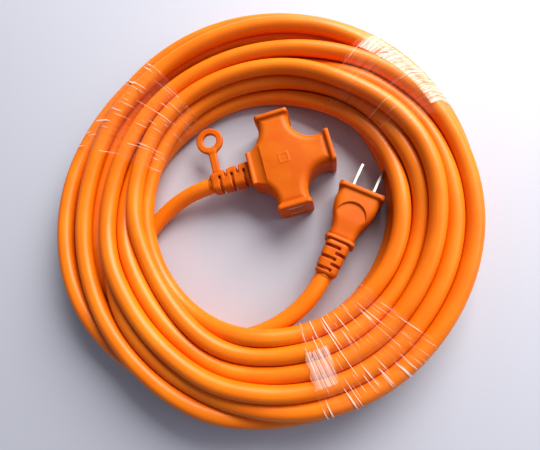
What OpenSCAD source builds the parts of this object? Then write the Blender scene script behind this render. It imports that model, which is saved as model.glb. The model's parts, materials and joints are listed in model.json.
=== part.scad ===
// Coiled two-core extension cord with a moulded triple tap, a moulded two-blade plug and
// three ties of stretched film. Millimetres, +Z up, origin on the surface at the coil's centre.

/* [Cord] */
// Outside diameter of the round cord
cord_d = 10; // [8:0.5:12]
// Outside diameter of each insulated core inside the cord
core_d = 3.4; // [2.8:0.1:3.8]

/* [Coil] */
// Radius of the open middle of the coil
coil_inner_r = 76.5; // [74:0.5:92]
// Radial width of the bundle of turns
bundle_w = 56.5; // [46:0.5:70]
// Height of the bundle of turns
bundle_h = 28; // [23:0.5:36]
// Roundness of the bundle's section at its upper corners
bundle_top_r = 12; // [6:0.5:14]
// Roundness of the bundle's section at its lower corners
bundle_foot_r = 7; // [3:0.5:10]

/* [Film ties] */
// Thickness of the wound layers of film
film_t = 0.5; // [0.3:0.1:1]
// Angle that each tie covers along the coil
film_angle = 35; // [20:1:42]

/* [Triple tap] */
// Centre of the tap to the face of each outlet
tap_reach = 30.5; // [28:0.5:38]
// Width of an outlet flange
flange_w = 21; // [19:0.5:26]
// Height of an outlet flange
flange_h = 27; // [25:0.5:33]
// Thickness of an outlet flange
flange_t = 2.8; // [2:0.1:4]
// Width of the tap's arms
arm_w = 18; // [16:0.5:20]
// Height of the tap's arms
arm_h = 24; // [22:0.5:26]
// Wall of the soft shell round the carriers
shell_wall = 1.8; // [1.2:0.1:2.4]
// Centre of the tap to the back of its collar
collar_reach = 20; // [19:0.5:24]
// Width of the tap's collar
collar_w = 19; // [18:0.5:22]
// Height of the tap's collar
collar_h = 21.5; // [20:0.5:26]
// Length of a slot in an outlet face
slot_l = 9; // [8:0.1:10]
// Width of a slot in an outlet face
slot_t = 2.2; // [1.8:0.1:2.6]

/* [Plug] */
// Width of the plug's front flange
plug_w = 28; // [26:0.5:34]
// Height of the plug's front flange
plug_h = 20; // [18:0.5:24]
// Thickness of the plug's front flange
plug_flange_t = 3; // [2:0.1:4]
// Front face of the plug to the back of its collar
plug_l = 34.5; // [32:0.5:42]
// Distance between the two poles of the plug and of each outlet
pole_gap = 12.7; // [12:0.1:13.4]
// Length of blade that stands out of the plug
blade_l = 17.5; // [15:0.5:21]
// Width of a blade
blade_w = 6.3; // [5.5:0.1:7.5]
// Thickness of a blade
blade_t = 1.5; // [1.2:0.1:1.8]
// Diameter of the hole in a blade
blade_hole_d = 3; // [2.5:0.1:3.6]

/* [Strain reliefs] */
// Length of the tap's slotted strain relief
tap_boot_l = 27.5; // [24:0.5:33]
// Length of the plug's slotted strain relief
plug_boot_l = 21.5; // [19:0.5:26]
// Wall of a strain relief at its thin end
boot_wall = 1.2; // [1:0.1:2]
// How much wider a strain relief is at its thick end
boot_flare = 2.1; // [1:0.1:3]
// Width of the cross slots of a strain relief
boot_slot = 1.6; // [1.2:0.1:2]

/* [Hanging loop] */
// Diameter of the hole in the hanging loop
loop_hole_d = 8.6; // [7:0.1:10.4]
// Width of the loop's rim
loop_rim = 4.4; // [3.5:0.1:5.4]
// Thickness of the loop and its stem
loop_t = 3; // [2.4:0.1:3.6]
// Width of the loop's stem
loop_stem_w = 5; // [4:0.1:6]
// Side of the strain relief to the centre of the loop's hole
loop_reach = 22.8; // [19:0.1:28]

/* [Hidden] */

$fn = 48;
cord_colour = "darkorange";
mould_colour = "orangered";
rigid_colour = "ivory";
brass_colour = "gold";

// Clearances
press_gap = 0.1;     // carriers in the shell, inserts in the plug
slip_gap = 0.2;      // cord in a strain relief
hinge_gap = 0.3;     // loop beside the strain relief that carries it
grip = 0.2;          // leaves of a contact are this much closer than a blade is thick
film_gap = 0.1;      // film over the bundle
core_gap = 0.7;      // a core's slanting end in front of the sheath's flat one

// Coil
coil_foot = film_t + film_gap;
coil_outer_r = coil_inner_r + bundle_w;

// Film ties: direction of the middle of each, seen from the coil's centre
film_west = 146;
film_north = 44;
film_south = -56;

// Tap: where the cord leaves its strain relief, and which way the tap points
tap_mouth = [-34, 15.5, flange_h / 2];
tap_yaw = 15;
tap_mouth_x = -collar_reach - tap_boot_l;
outlets = [90, 0, -90];
arm_edge_r = 5;
web_r = 12;
web_back_r = 7;
flange_corner_r = 2.5;
collar_t = 2;
neck_h = arm_h - 3;
face_wall = 4.5;
carrier_w = arm_w - 2 * shell_wall - 2 * press_gap;
carrier_h = arm_h - 2 * shell_wall - 2 * press_gap;
carrier_back_h = neck_h - 2 * shell_wall - 2 * press_gap;
carrier_split = 0.1;
chamber_w = slot_l + 1;
chamber_h = 5;
bus_t = 0.8;
bus_w = 7;
bus_reach = 11;
bus_back = bus_w / 2;
contact_w = 8;
contact_t = 0.5;
contact_l = 13;
contact_root = 1.2;
crimp_d = 4;
crimp_l = 5;
crimp_wall = 0.6;
crimp_room = 0.4;
core_spread = 0.52;

// Plug: where the cord leaves its strain relief, and which way the plug points
plug_mouth = [35.5, -41.5, 15.8];
plug_yaw = 65.5;
plug_pitch = 6;
plug_mouth_x = -plug_l - plug_boot_l;
plug_neck_x = -plug_l + 6.5;
plug_collar = [18.2, 16];
plug_neck = [15.5, 13];
plug_shoulder = [plug_w - 2.4, plug_h - 3.4];
plug_shoulder_x = -12;
plug_collar_t = 1.8;
scoop_r = 8.8;
scoop_x = -18.8;
scoop_depth = 1.6;
blade_root = 10;
blade_hole_x = 11.7;
insert_front = 2;
insert_l = blade_root + 1;
insert_w = pole_gap + blade_t + 6.5;
insert_h = blade_w + 5;
crimp_side = pole_gap / 2 + crimp_d / 2 + crimp_room;
crimp_back = -insert_front - insert_l - crimp_l;

// Strain reliefs and the hanging loop
boot_corner_r = 3.2;
lead_tail = 2;       // cord stops this far short of a collar, inside the strain relief
loop_x = tap_mouth_x + 5;

// Leads: points on the cord's centreline, from the strain relief's mouth into the coil
tap_route = [
    tap_mouth, [-43, 13, 12.7], [-52, 9.6, 10.4], [-60.5, 4.6, 7.8], [-68.4, -1.8, 6],
    [-75.4, -9.4, 5.3], [-81.3, -18, 5.2]
];
plug_route = [
    plug_mouth, [31.4, -49.4, 16.5], [26.2, -56.4, 16.8], [19.2, -62.8, 16.6],
    [10.8, -68.6, 16.2], [1.5, -73.4, 15.8], [-8.5, -76.8, 15.5], [-19, -79, 15.4]
];
lead_sides = 10;

// ---------- helpers ----------

// Rounded rectangle with true arcs
module rounded_rect(w, h, r) {
    square([w - 2 * r, h], center = true);
    square([w, h - 2 * r], center = true);
    for (x = [-1, 1], y = [-1, 1])
        translate([x * (w / 2 - r), y * (h / 2 - r)]) circle(r);
}

// Bar along X from x0 to x1 with a rounded section, w across Y and h up Z
module bar(x0, x1, w, h, r) {
    translate([x0, 0, 0]) rotate([90, 0, 90]) linear_extrude(x1 - x0) rounded_rect(w, h, r);
}

// Square-edged block along X, centred on Y and Z
module block(x0, x1, w, h) {
    translate([x0, -w / 2, -h / 2]) cube([x1 - x0, w, h]);
}

// Round rod between two points
module rod(a, b, d) {
    v = b - a;
    translate(a) rotate([0, acos(v[2] / norm(v)), atan2(v[1], v[0])])
        cylinder(h = norm(v), d = d, $fn = 24);
}

function unit(v) = v / norm(v);

function heading(p, i) =
    i == 0 ? unit(p[1] - p[0])
    : i == len(p) - 1 ? unit(p[i] - p[i - 1])
    : unit(unit(p[i + 1] - p[i]) + unit(p[i] - p[i - 1]));

// Ring of points round p, square to the heading t
function ring(p, t, r, n) =
    let (side = unit(cross(t, [0, 0, 1])), up = cross(side, t))
    [for (k = [0:n - 1]) p + r * (cos(360 * k / n) * side + sin(360 * k / n) * up)];

// Tube swept along a route
module tube(route, d, n) {
    last = len(route) - 1;
    points = [for (i = [0:last]) each ring(route[i], heading(route, i), d / 2, n)];
    start_cap = [for (k = [0:n - 1]) k];
    end_cap = [for (k = [n - 1:-1:0]) last * n + k];
    walls = [
        for (i = [0:last - 1], k = [0:n - 1])
            [i * n + k, (i + 1) * n + k, (i + 1) * n + (k + 1) % n, i * n + (k + 1) % n]
    ];
    polyhedron(points, concat([start_cap], walls, [end_cap]), convexity = 6);
}

function arc(c, r, from, to, n) =
    [for (i = [0:n]) let (a = from + (to - from) * i / n) c + r * [cos(a), sin(a)]];

// Section of the bundle of turns, grown outwards by g
function bundle_section(g) =
    let (
        x0 = coil_inner_r, x1 = coil_outer_r, z0 = coil_foot, z1 = coil_foot + bundle_h,
        t = bundle_top_r, f = bundle_foot_r
    )
    concat(
        arc([x0 + f, z0 + f], f + g, 180, 270, 5),
        arc([x1 - f, z0 + f], f + g, 270, 360, 5),
        arc([x1 - t, z1 - t], t + g, 0, 90, 6),
        arc([x0 + t, z1 - t], t + g, 90, 180, 6)
    );

module at_tap() {
    translate(tap_mouth) rotate([0, 0, tap_yaw]) translate([-tap_mouth_x, 0, 0]) children();
}

module at_plug() {
    translate(plug_mouth) rotate([0, plug_pitch, plug_yaw]) translate([-plug_mouth_x, 0, 0])
        children();
}

// ---------- cord ----------

module cord_coil() {
    color(cord_colour) rotate_extrude($fn = 96) polygon(bundle_section(0));
}

// The cord starts inside the strain relief, square to its mouth
function boot_run(yaw, pitch, mouth, l) =
    mouth + (l - lead_tail) * [cos(pitch) * cos(yaw), cos(pitch) * sin(yaw), -sin(pitch)];

module tap_lead() {
    start = boot_run(tap_yaw, 0, tap_mouth, tap_boot_l);
    color(cord_colour) tube(concat([start], tap_route), cord_d, lead_sides);
}

module plug_lead() {
    start = boot_run(plug_yaw, plug_pitch, plug_mouth, plug_boot_l);
    color(cord_colour) tube(concat([start], plug_route), cord_d, lead_sides);
}

// ---------- film ties ----------

module film_tie(direction) {
    color("whitesmoke", 0.4) rotate([0, 0, direction - film_angle / 2])
        rotate_extrude(angle = film_angle, $fn = 96) difference() {
            polygon(bundle_section(film_gap + film_t));
            polygon(bundle_section(film_gap));
        }
}

// ---------- strain reliefs ----------

// Slotted sleeve from x0 back to x1, slots cut half way round from alternate sides
module boot(x0, x1, plus_slots, minus_slots) {
    thin = cord_d + 2 * boot_wall;
    difference() {
        hull() {
            bar(x0 - 0.5, x0, thin + boot_flare, thin + boot_flare, boot_corner_r);
            bar(x1, x1 + 0.5, thin, thin, boot_corner_r);
        }
        translate([x1 - 1, 0, 0]) rotate([0, 90, 0])
            cylinder(h = x0 - x1 + 2, d = cord_d + 2 * slip_gap);
        for (x = plus_slots) translate([x - boot_slot / 2, -1, -cord_d])
            cube([boot_slot, cord_d + 1, 2 * cord_d]);
        for (x = minus_slots) translate([x - boot_slot / 2, -cord_d, -cord_d])
            cube([boot_slot, cord_d + 1, 2 * cord_d]);
    }
}

module tap_boot() {
    step = tap_boot_l / 7;
    color(mould_colour) at_tap()
        boot(-collar_reach, tap_mouth_x,
            [for (k = [2, 4]) -collar_reach - k * step],
            [for (k = [1, 3, 5]) -collar_reach - k * step]);
}

module plug_boot() {
    step = plug_boot_l / 6.4;
    color(mould_colour) at_plug()
        boot(-plug_l, plug_mouth_x,
            [for (k = [1, 3, 5]) -plug_l - k * step],
            [for (k = [2, 4]) -plug_l - k * step]);
}

// ---------- hanging loop ----------

loop_side = cord_d / 2 + boot_wall + boot_flare / 2 * 5 / tap_boot_l;
loop_hinge_y = loop_side + hinge_gap + loop_t / 2;
loop_centre_y = loop_side + loop_reach;

module hang_loop() {
    color(mould_colour) at_tap() translate([loop_x, 0, 0]) difference() {
        union() {
            translate([0, loop_centre_y, 0])
                cylinder(h = loop_t, d = loop_hole_d + 2 * loop_rim, center = true);
            translate([-loop_stem_w / 2, loop_hinge_y, -loop_t / 2])
                cube([loop_stem_w, loop_centre_y - loop_hinge_y, loop_t]);
            translate([0, loop_hinge_y, 0]) rotate([0, 90, 0])
                cylinder(h = loop_stem_w, d = loop_t, center = true);
        }
        translate([0, loop_centre_y, 0])
            cylinder(h = loop_t + 2, d = loop_hole_d, center = true);
    }
}

// ---------- triple tap ----------

// Concave web in the corner between two arms
module web(r) {
    h = arm_h - 2 * arm_edge_r;
    translate([arm_w / 2 - 1, arm_w / 2 - 1, -h / 2]) linear_extrude(h) difference() {
        square(r + 1);
        translate([r + 1, r + 1]) circle(r);
    }
}

module tap_body() {
    color(mould_colour) at_tap() difference() {
        union() {
            for (a = outlets) rotate([0, 0, a]) {
                bar(0, tap_reach - flange_t / 2, arm_w, arm_h, arm_edge_r);
                bar(tap_reach - flange_t, tap_reach, flange_w, flange_h, flange_corner_r);
            }
            bar(-collar_reach + collar_t / 2, 0, arm_w, neck_h, arm_edge_r);
            bar(-collar_reach, -collar_reach + collar_t, collar_w, collar_h, flange_corner_r);
            for (a = [0, -90]) rotate([0, 0, a]) web(web_r);
            for (a = [90, 180]) rotate([0, 0, a]) web(web_back_r);
        }
        for (a = outlets) rotate([0, 0, a]) {
            block(0, tap_reach - face_wall, carrier_w + 2 * press_gap, carrier_h + 2 * press_gap);
            for (z = [-1, 1]) translate([0, 0, z * pole_gap / 2])
                block(tap_reach - face_wall - 1, tap_reach + 1, slot_l, slot_t);
        }
        block(-collar_reach + collar_t, 0, carrier_w + 2 * press_gap,
            carrier_back_h + 2 * press_gap);
        block(-collar_reach - 1, 0, core_d + 2 * crimp_room, pole_gap);
    }
}

// Half of the rigid carrier that holds the contacts of one pole
module carrier(side) {
    color(rigid_colour) at_tap() difference() {
        intersection() {
            union() {
                for (a = outlets) rotate([0, 0, a])
                    block(0, tap_reach - face_wall - press_gap, carrier_w, carrier_h);
                block(-collar_reach + collar_t + press_gap, 0, carrier_w, carrier_back_h);
            }
            translate([0, 0, side * (arm_h / 2 + carrier_split)])
                cube([3 * tap_reach, 3 * tap_reach, arm_h], center = true);
        }
        translate([0, 0, side * pole_gap / 2]) {
            for (a = outlets) rotate([0, 0, a]) {
                block(bus_reach - 2, tap_reach, chamber_w, chamber_h);
                block(0, bus_reach, bus_w + 1, bus_t + 0.4);
            }
            block(-collar_reach, 0, crimp_d + 2 * crimp_room, crimp_d + 2 * crimp_room);
        }
        block(-collar_reach, -bus_back - crimp_l / 2, core_d + 2 * crimp_room, pole_gap);
    }
}

module carrier_upper() carrier(1);
module carrier_lower() carrier(-1);

// Flat brass bar that joins the three contacts of one pole to its crimp
module bus_bar(side) {
    color(brass_colour) at_tap() translate([0, 0, side * pole_gap / 2]) union() {
        block(-bus_back, bus_reach, bus_w, bus_t);
        rotate([0, 0, 90]) block(-bus_reach, bus_reach, bus_w, bus_t);
    }
}

module bus_bar_upper() bus_bar(1);
module bus_bar_lower() bus_bar(-1);

// Folded contact with two leaves that grip a blade
module contact(side, direction) {
    gap = blade_t - grip;
    color(brass_colour) at_tap() rotate([0, 0, direction])
        translate([0, 0, side * pole_gap / 2]) {
            block(bus_reach, bus_reach + contact_root, contact_w, gap + 2 * contact_t);
            for (z = [-1, 1]) translate([0, 0, z * (gap + contact_t) / 2])
                block(bus_reach + contact_root - 0.2, bus_reach + contact_l, contact_w, contact_t);
        }
}

module contact_left_upper() contact(1, 90);
module contact_left_lower() contact(-1, 90);
module contact_end_upper() contact(1, 0);
module contact_end_lower() contact(-1, 0);
module contact_right_upper() contact(1, -90);
module contact_right_lower() contact(-1, -90);

// Crimp barrel along X, from x back by its length
module crimp(x) {
    translate([x - crimp_l, 0, 0]) rotate([0, 90, 0]) difference() {
        cylinder(h = crimp_l, d = crimp_d);
        translate([0, 0, -1]) cylinder(h = crimp_l, d = crimp_d - 2 * crimp_wall);
    }
}

module tap_crimp(side) {
    color(brass_colour) at_tap() translate([0, 0, side * pole_gap / 2]) crimp(-bus_back);
}

module tap_crimp_upper() tap_crimp(1);
module tap_crimp_lower() tap_crimp(-1);

// Insulated core from the end of the cord's sheath to the inside of its crimp
module tap_core(side) {
    at_tap() rod([-collar_reach - lead_tail + core_gap, 0, side * core_d * core_spread],
        [-bus_back - crimp_l / 2, 0, side * pole_gap / 2], core_d);
}

module tap_core_white() color("white") tap_core(1);
module tap_core_black() color("dimgray") tap_core(-1);

// ---------- plug ----------

// Thin rounded slab at x, for hulls
module slab(x, size, r) {
    bar(x - 0.1, x, size[0], size[1], r);
}

module plug_body() {
    collar_front = -plug_l + plug_collar_t;
    color(mould_colour) at_plug() difference() {
        union() {
            bar(-plug_flange_t, 0, plug_w, plug_h, 3, $fn = 32);
            hull() {
                slab(-plug_flange_t + 0.1, plug_shoulder, 4, $fn = 32);
                slab(plug_shoulder_x, plug_shoulder, 4, $fn = 32);
            }
            hull() {
                slab(plug_shoulder_x, plug_shoulder, 4, $fn = 32);
                slab(plug_neck_x, plug_neck, 4, $fn = 32);
            }
            hull() {
                slab(plug_neck_x, plug_neck, 4, $fn = 32);
                slab(collar_front + 0.1, plug_collar - [1, 1], 3, $fn = 32);
            }
            bar(-plug_l, collar_front, plug_collar[0], plug_collar[1], 2.5, $fn = 32);
        }
        for (z = [-1, 1]) {
            translate([scoop_x, 0, z * (plug_shoulder[1] / 2 + 5 - scoop_depth)])
                cylinder(h = 10, r = scoop_r, center = true);
            for (y = [-1, 1]) translate([0, y * pole_gap / 2, 0])
                block(-insert_front - 1, 1, blade_t, blade_w);
        }
        block(-insert_front - insert_l - press_gap, -insert_front + press_gap,
            insert_w + 2 * press_gap, insert_h + 2 * press_gap);
        translate([0, 0, -crimp_d / 2 - crimp_room]) linear_extrude(crimp_d + 2 * crimp_room)
            polygon([
                [-insert_front - insert_l + 1, crimp_side], [crimp_back, crimp_side],
                [-plug_l - 1, core_d + crimp_room], [-plug_l - 1, -core_d - crimp_room],
                [crimp_back, -crimp_side], [-insert_front - insert_l + 1, -crimp_side]
            ]);
    }
}

module blade_carrier() {
    color(rigid_colour) at_plug() difference() {
        block(-insert_front - insert_l, -insert_front, insert_w, insert_h);
        for (y = [-1, 1]) translate([0, y * pole_gap / 2, 0])
            block(-insert_front - insert_l - 1, 0, blade_t + press_gap, blade_w + press_gap);
    }
}

// Flat blade with a round hole and a chamfered tip
module blade(side) {
    chamfer = 1;
    color("gainsboro") at_plug() translate([0, side * pole_gap / 2, 0])
        rotate([90, 0, 0]) linear_extrude(blade_t, center = true) difference() {
            polygon([
                [-insert_front - blade_root, -blade_w / 2], [blade_l - chamfer, -blade_w / 2],
                [blade_l, -blade_w / 2 + chamfer], [blade_l, blade_w / 2 - chamfer],
                [blade_l - chamfer, blade_w / 2], [-insert_front - blade_root, blade_w / 2]
            ]);
            translate([blade_hole_x, 0]) circle(d = blade_hole_d, $fn = 32);
        }
}

module blade_left() blade(1);
module blade_right() blade(-1);

module plug_crimp(side) {
    color(brass_colour) at_plug() translate([0, side * pole_gap / 2, 0])
        crimp(-insert_front - insert_l);
}

module plug_crimp_left() plug_crimp(1);
module plug_crimp_right() plug_crimp(-1);

module plug_core(side) {
    at_plug() rod([-plug_l - lead_tail + core_gap, side * core_d * core_spread, 0],
        [-insert_front - insert_l - crimp_l / 2, side * pole_gap / 2, 0], core_d);
}

module plug_core_white() color("white") plug_core(1);
module plug_core_black() color("dimgray") plug_core(-1);

// ---------- assembly ----------

cord_coil();
tap_lead();
plug_lead();
film_tie(film_west);  // film_tie_west
film_tie(film_north);  // film_tie_north
film_tie(film_south);  // film_tie_south
tap_body();
carrier_upper();
carrier_lower();
bus_bar_upper();
bus_bar_lower();
contact_left_upper();
contact_left_lower();
contact_end_upper();
contact_end_lower();
contact_right_upper();
contact_right_lower();
tap_crimp_upper();
tap_crimp_lower();
tap_core_white();
tap_core_black();
tap_boot();
hang_loop();
plug_body();
blade_carrier();
blade_left();
blade_right();
plug_crimp_left();
plug_crimp_right();
plug_core_white();
plug_core_black();
plug_boot();
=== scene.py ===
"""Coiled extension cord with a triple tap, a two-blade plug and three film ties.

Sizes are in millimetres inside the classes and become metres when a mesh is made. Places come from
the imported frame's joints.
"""

import json
import logging
import math
from collections.abc import Callable, Sequence
from dataclasses import dataclass, field
from enum import Enum
from typing import Any

import bpy
import numpy as np
from mathutils import Matrix, Vector


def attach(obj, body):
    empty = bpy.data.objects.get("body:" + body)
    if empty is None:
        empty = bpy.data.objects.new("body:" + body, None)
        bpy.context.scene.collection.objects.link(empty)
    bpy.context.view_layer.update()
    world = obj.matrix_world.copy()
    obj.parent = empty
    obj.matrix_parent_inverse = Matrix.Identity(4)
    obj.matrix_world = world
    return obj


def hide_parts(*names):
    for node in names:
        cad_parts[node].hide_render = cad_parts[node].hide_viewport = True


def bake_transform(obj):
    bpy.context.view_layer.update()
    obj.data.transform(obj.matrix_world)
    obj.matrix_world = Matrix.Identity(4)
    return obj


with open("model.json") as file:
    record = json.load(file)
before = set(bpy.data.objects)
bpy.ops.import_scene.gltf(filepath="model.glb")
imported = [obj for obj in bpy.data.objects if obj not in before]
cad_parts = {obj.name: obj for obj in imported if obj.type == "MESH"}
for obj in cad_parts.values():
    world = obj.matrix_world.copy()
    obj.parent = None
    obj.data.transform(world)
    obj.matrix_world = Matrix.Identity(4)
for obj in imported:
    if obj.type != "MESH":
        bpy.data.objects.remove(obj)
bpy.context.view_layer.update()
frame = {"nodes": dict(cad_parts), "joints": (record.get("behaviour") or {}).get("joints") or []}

MM = 0.001
LOG = logging.getLogger("extension_cord")
Field = Callable[[np.ndarray], np.ndarray]
Values = float | np.ndarray


# ---------- shader maths ----------


class Wire:
    """A node's output that Python's operators can work on."""

    def __init__(self, graph: "Graph", socket: bpy.types.NodeSocket) -> None:
        """Wraps one output.

        Args:
            graph: the node tree's builder.
            socket: the output that is wrapped.
        """
        self.graph = graph
        self.socket = socket

    def maths(self, operation: str, *others: "Wire | float", clamp: bool = False) -> "Wire":
        """Adds one Math node.

        Args:
            operation: the Math node's operation.
            others: the other values, wires or numbers.
            clamp: keeps the result from 0 to 1.

        Returns:
            The result as a wire.
        """
        inputs = dict(enumerate((self, *others)))
        settings = {"operation": operation, "use_clamp": clamp}
        return self.graph.node("ShaderNodeMath", settings, inputs)

    def __add__(self, other: "Wire | float") -> "Wire":
        """Sum."""
        return self.maths("ADD", other)

    def __radd__(self, other: float) -> "Wire":
        """Sum with a number first."""
        return self.maths("ADD", other)

    def __sub__(self, other: "Wire | float") -> "Wire":
        """Difference."""
        return self.maths("SUBTRACT", other)

    def __rsub__(self, other: float) -> "Wire":
        """A number less this value."""
        return self.graph.node("ShaderNodeMath", {"operation": "SUBTRACT"}, {0: other, 1: self})

    def __mul__(self, other: "Wire | float") -> "Wire":
        """Product."""
        return self.maths("MULTIPLY", other)

    def __rmul__(self, other: float) -> "Wire":
        """Product with a number first."""
        return self.maths("MULTIPLY", other)

    def __truediv__(self, other: "Wire | float") -> "Wire":
        """Quotient."""
        return self.maths("DIVIDE", other)

    def __rtruediv__(self, other: float) -> "Wire":
        """A number over this value."""
        return self.graph.node("ShaderNodeMath", {"operation": "DIVIDE"}, {0: other, 1: self})

    def __pow__(self, other: float) -> "Wire":
        """Power."""
        return self.maths("POWER", other)

    def clamped(self) -> "Wire":
        """The value kept from 0 to 1."""
        return self.maths("ADD", 0.0, clamp=True)

    def larger(self, other: "Wire | float") -> "Wire":
        """The larger of two values."""
        return self.maths("MAXIMUM", other)

    def steps(self, low: float, high: float) -> "Wire":
        """A smooth step from 0 at low to 1 at high.

        Args:
            low: the value where the step starts.
            high: the value where it ends.

        Returns:
            The step as a wire.
        """
        settings = {"interpolation_type": "SMOOTHSTEP"}
        return self.graph.node(
            "ShaderNodeMapRange", settings, {"Value": self, "From Min": low, "From Max": high}
        )


class Graph:
    """Builds one material's node tree."""

    def __init__(self, name: str) -> None:
        """Makes an empty material with its output node.

        Args:
            name: the material's name.
        """
        self.material = bpy.data.materials.new(name)
        self.material.use_nodes = True
        self.tree = self.material.node_tree
        self.tree.nodes.clear()
        self.output = self.tree.nodes.new("ShaderNodeOutputMaterial")

    def node(
        self,
        kind: str,
        settings: dict[str, Any] | None = None,
        inputs: dict[str | int, Any] | None = None,
        output: str | int = 0,
    ) -> Wire:
        """Adds a node of any type.

        Args:
            kind: the node's type.
            settings: its attributes, set before its sockets; "stops" fills a colour ramp.
            inputs: a wire, number, colour or vector for each named or numbered socket.
            output: the output that is wanted.

        Returns:
            That output as a wire.
        """
        made = self.tree.nodes.new(kind)
        for key, value in (settings or {}).items():
            if key == "stops":
                self.fill_ramp(made.color_ramp, value)
            else:
                setattr(made, key, value)
        for key, value in (inputs or {}).items():
            if isinstance(value, Wire):
                self.tree.links.new(value.socket, made.inputs[key])
            else:
                made.inputs[key].default_value = value
        return Wire(self, made.outputs[output])

    @staticmethod
    def fill_ramp(ramp: bpy.types.ColorRamp, stops: Sequence[tuple[float, Sequence[float]]]) -> None:
        """Sets a colour ramp's stops.

        Args:
            ramp: the ramp.
            stops: each stop's place and colour.
        """
        while len(ramp.elements) < len(stops):
            ramp.elements.new(1.0)
        for element, (place, colour) in zip(ramp.elements, stops):
            element.position = place
            element.color = (*colour, 1.0)

    def coordinates(self) -> Wire:
        """Object coordinates, which are the row frame's metres."""
        return self.node("ShaderNodeTexCoord", output="Object")

    def noise(self, scale: float, detail: float = 3.0, vector: Wire | None = None) -> Wire:
        """Noise from 0 to 1 over the object's own space.

        Args:
            scale: how many features there are in a metre.
            detail: octaves.
            vector: coordinates, if not the object's.

        Returns:
            The noise.
        """
        place = vector or self.coordinates()
        inputs = {"Vector": place, "Scale": scale, "Detail": detail}
        return self.node("ShaderNodeTexNoise", inputs=inputs)

    def mixed(self, factor: Wire | float, first: Any, second: Any) -> Wire:
        """A colour between two colours.

        Args:
            factor: 0 for the first and 1 for the second.
            first: a colour or wire.
            second: a colour or wire.

        Returns:
            The mixed colour.
        """
        colours = {6: first, 7: second}
        inputs = {
            k: v if isinstance(v, Wire) else (*v, 1.0) for k, v in colours.items()
        }
        return self.node("ShaderNodeMix", {"data_type": "RGBA"}, {0: factor, **inputs}, 2)

    def bump(self, height: Wire, strength: float, distance: float) -> Wire:
        """A normal from a height in metres times distance.

        Args:
            height: the height.
            strength: how much of the bump shows.
            distance: metres of height for a value of 1.

        Returns:
            The normal.
        """
        inputs = {"Height": height, "Strength": strength, "Distance": distance}
        return self.node("ShaderNodeBump", inputs=inputs)

    def surface(self, **inputs: Any) -> bpy.types.Material:
        """Ends the tree in a Principled shader.

        Args:
            inputs: its sockets, with underscores for spaces.

        Returns:
            The material.
        """
        sockets = {}
        for key, value in inputs.items():
            plain = isinstance(value, tuple) and len(value) == 3
            sockets[key.replace("_", " ")] = (*value, 1.0) if plain else value
        shader = self.node("ShaderNodeBsdfPrincipled", inputs=sockets)
        self.tree.links.new(shader.socket, self.output.inputs["Surface"])
        return self.material


# ---------- finishes ----------


class Finish:
    """A material that is made once and shared."""

    made: dict[str, bpy.types.Material] = {}

    def material(self) -> bpy.types.Material:
        """The finish's material, made on first use.

        Returns:
            The material.
        """
        name = type(self).__name__ + "_" + "_".join(str(v) for v in vars(self).values())
        name = "".join(c for c in name if c.isalnum() or c == "_")[:60]
        if name not in Finish.made:
            Finish.made[name] = self.build(Graph(name))
        return Finish.made[name]

    def build(self, graph: Graph) -> bpy.types.Material:
        """Builds the node tree.

        Args:
            graph: the tree's builder.

        Returns:
            The material.
        """
        raise NotImplementedError


@dataclass(frozen=True)
class CordSheath(Finish):
    """Soft extruded sheath: saturated orange, satin, with faint drawn lines along it."""

    colour: tuple[float, float, float] = (0.84, 0.212, 0.004)
    deep: tuple[float, float, float] = (0.80, 0.170, 0.003)

    def build(self, graph: Graph) -> bpy.types.Material:
        """Builds the sheath's node tree.

        Args:
            graph: the tree's builder.

        Returns:
            The material.
        """
        lanes = graph.node("ShaderNodeUVMap", {"uv_map": "sheath"})
        stretched = graph.node(
            "ShaderNodeMapping", inputs={"Vector": lanes, "Scale": (14.0, 9.0, 1.0)}
        )
        drawn = graph.noise(1.0, 4.0, stretched)
        blotches = graph.noise(46.0, 2.0)
        grain = graph.noise(2600.0, 2.0)
        tint = (blotches * 0.55 + drawn * 0.45).steps(0.32, 0.68)
        height = drawn * 0.7 + grain * 0.3
        return graph.surface(
            Base_Color=graph.mixed(tint, self.deep, self.colour),
            Roughness=0.30 + blotches * 0.12 + grain * 0.06,
            Normal=graph.bump(height, 0.35, 0.00012),
            Specular_IOR_Level=0.42,
        )


@dataclass(frozen=True)
class Moulding(Finish):
    """Soft moulded shell, a shade redder than the sheath, with a fine eroded texture."""

    colour: tuple[float, float, float] = (0.60, 0.130, 0.002)
    deep: tuple[float, float, float] = (0.57, 0.106, 0.002)

    def build(self, graph: Graph) -> bpy.types.Material:
        """Builds the moulding's node tree.

        Args:
            graph: the tree's builder.

        Returns:
            The material.
        """
        clouds = graph.noise(70.0, 3.0)
        grain = graph.noise(3200.0, 2.0)
        flow = graph.noise(260.0, 3.0)
        return graph.surface(
            Base_Color=graph.mixed(clouds.steps(0.35, 0.65), self.deep, self.colour),
            Roughness=0.36 + clouds * 0.10 + grain * 0.08,
            Normal=graph.bump(grain * 0.6 + flow * 0.4, 0.4, 0.00010),
            Specular_IOR_Level=0.22,
        )


@dataclass(frozen=True)
class Plate(Finish):
    """Rolled metal with fine lines along it and faint handling marks."""

    colour: tuple[float, float, float] = (0.44, 0.44, 0.41)
    dull: tuple[float, float, float] = (0.40, 0.39, 0.36)
    roughness: float = 0.3

    def build(self, graph: Graph) -> bpy.types.Material:
        """Builds the metal's node tree.

        Args:
            graph: the tree's builder.

        Returns:
            The material.
        """
        place = graph.coordinates()
        long_way = graph.node("ShaderNodeMapping", inputs={"Vector": place, "Scale": (900, 900, 90)})
        lines = graph.noise(1.0, 3.0, long_way)
        smudge = graph.noise(240.0, 3.0)
        return graph.surface(
            Base_Color=graph.mixed(smudge.steps(0.4, 0.7), self.colour, self.dull),
            Metallic=1.0,
            Roughness=self.roughness + smudge * 0.16 + lines * 0.06,
            Normal=graph.bump(lines, 0.3, 0.00006),
        )


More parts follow.
